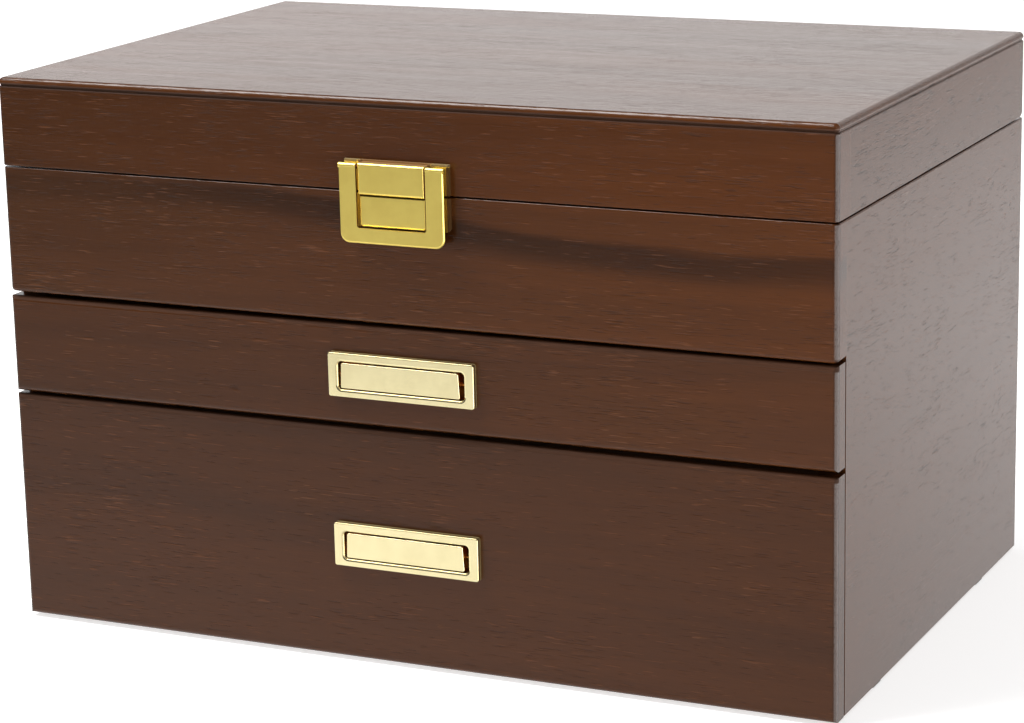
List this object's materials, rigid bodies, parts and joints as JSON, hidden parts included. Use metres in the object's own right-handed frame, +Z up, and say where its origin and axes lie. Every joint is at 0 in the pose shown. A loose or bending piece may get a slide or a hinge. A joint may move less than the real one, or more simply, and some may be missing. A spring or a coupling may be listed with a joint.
{
  "type": "ring box with drawers",
  "caption": "Rectangular wooden jewellery box: hinged lid with hasp latch over a ring compartment, a shallow and a deep full-overlay drawer below, each with a flush tilting pull.",
  "frame": {"origin": "bottom centre of the whole assembly's box, on the surface that the foot pads stand on", "axes": "+X to the right seen from the front, the drawers open towards -Y, +Z up"},
  "size_m": [0.3, 0.2052, 0.192],
  "materials": {
    "veneer": "satin lacquered dark walnut-brown veneer",
    "box_wood": "stained plain board",
    "latch_gold": "polished gold-plated",
    "pull_gold": "mirror-polished pale gold-plated",
    "hinge_brass": "plated",
    "steel": "plain",
    "lining": "short-pile velvet on card",
    "roll_velvet": "short-pile velvet over foam",
    "mirror_glass": "silvered glass",
    "rubber_foot": "matt black"
  },
  "bodies": {
    "case": {"side_panel_left": "veneer", "side_panel_right": "veneer", "back_panel": "veneer", "bottom_panel": "box_wood", "drawer_shelf": "box_wood", "compartment_floor": "box_wood", "upper_front_rail": "veneer", "foot_pads": "rubber_foot", "compartment_lining": "lining", "compartment_dividers": "lining", "ring_rolls": "roll_velvet", "hinge_case_leaves": "hinge_brass", "hinge_case_screws": "steel", "hinge_pins": "steel", "latch_catch_plate": "latch_gold", "latch_catch_nails": "latch_gold"},
    "lid": {"lid_top_panel": "veneer", "lid_front_rail": "veneer", "lid_back_rail": "veneer", "lid_left_rail": "veneer", "lid_right_rail": "veneer", "lid_lining": "lining", "lid_mirror": "mirror_glass", "lid_mirror_trim": "lining", "hinge_lid_leaves": "hinge_brass", "hinge_lid_screws": "steel", "latch_lid_plate": "latch_gold", "latch_lid_nails": "latch_gold", "latch_pin": "latch_gold"},
    "hasp": {"latch_hasp": "latch_gold"},
    "upper_drawer": {"upper_drawer_front": "veneer", "upper_drawer_side_left": "box_wood", "upper_drawer_side_right": "box_wood", "upper_drawer_back": "box_wood", "upper_drawer_bottom": "box_wood", "upper_drawer_lining": "lining", "upper_drawer_dividers": "lining", "upper_pull_housing": "pull_gold", "upper_pull_pin": "steel", "upper_pull_screws": "steel"},
    "lower_drawer": {"lower_drawer_front": "veneer", "lower_drawer_side_left": "box_wood", "lower_drawer_side_right": "box_wood", "lower_drawer_back": "box_wood", "lower_drawer_bottom": "box_wood", "lower_drawer_lining": "lining", "lower_pull_housing": "pull_gold", "lower_pull_pin": "steel", "lower_pull_screws": "steel"},
    "upper_flap": {"upper_pull_flap": "pull_gold"},
    "lower_flap": {"lower_pull_flap": "pull_gold"}
  },
  "joints": [
    {"name": "lid_hinge", "type": "hinge", "parent": "case", "child": "lid", "pos_m": [0, 0.10075, 0.1623], "axis": [-1, 0, 0], "range_deg": [0, 100]},
    {"name": "hasp_hinge", "type": "hinge", "parent": "lid", "child": "hasp", "pos_m": [0.001, -0.1017, 0.17045], "axis": [-1, 0, 0], "range_deg": [0, 110]},
    {"name": "upper_drawer_slide", "type": "slide", "parent": "case", "child": "upper_drawer", "axis": [0, -1, 0], "range_m": [0, 0.15]},
    {"name": "lower_drawer_slide", "type": "slide", "parent": "case", "child": "lower_drawer", "axis": [0, -1, 0], "range_m": [0, 0.15]},
    {"name": "upper_flap_hinge", "type": "hinge", "parent": "upper_drawer", "child": "upper_flap", "pos_m": [0.001, -0.09735, 0.09995], "axis": [-1, 0, 0], "range_deg": [0, 45]},
    {"name": "lower_flap_hinge", "type": "hinge", "parent": "lower_drawer", "child": "lower_flap", "pos_m": [0.001, -0.09735, 0.0416], "axis": [-1, 0, 0], "range_deg": [0, 45]}
  ]
}
